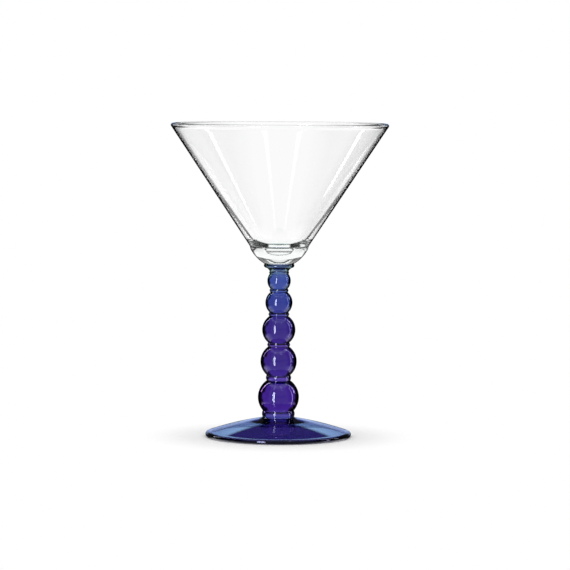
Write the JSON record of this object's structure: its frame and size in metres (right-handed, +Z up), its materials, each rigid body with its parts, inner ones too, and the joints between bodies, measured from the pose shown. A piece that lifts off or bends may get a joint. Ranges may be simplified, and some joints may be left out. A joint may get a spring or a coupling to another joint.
{
  "type": "martini glass",
  "caption": "Stemmed cocktail glass with a clear conical bowl on a cobalt blue stem of graduated balls and a domed blue foot.",
  "frame": {"origin": "middle of the circle that the foot stands on, on the table, on the glass's axis", "axes": "+Z up along the axis from foot to rim; the glass is turned about Z, so X and Y are any two level directions"},
  "size_m": [0.117, 0.117, 0.1688],
  "materials": {
    "clear_glass": "clear soda-lime glass, fire-polished",
    "cobalt_glass": "cobalt blue soda-lime glass, fire-polished"
  },
  "bodies": {
    "root": {"bowl": "clear_glass", "stem": "cobalt_glass", "foot": "cobalt_glass"}
  },
  "joints": []
}
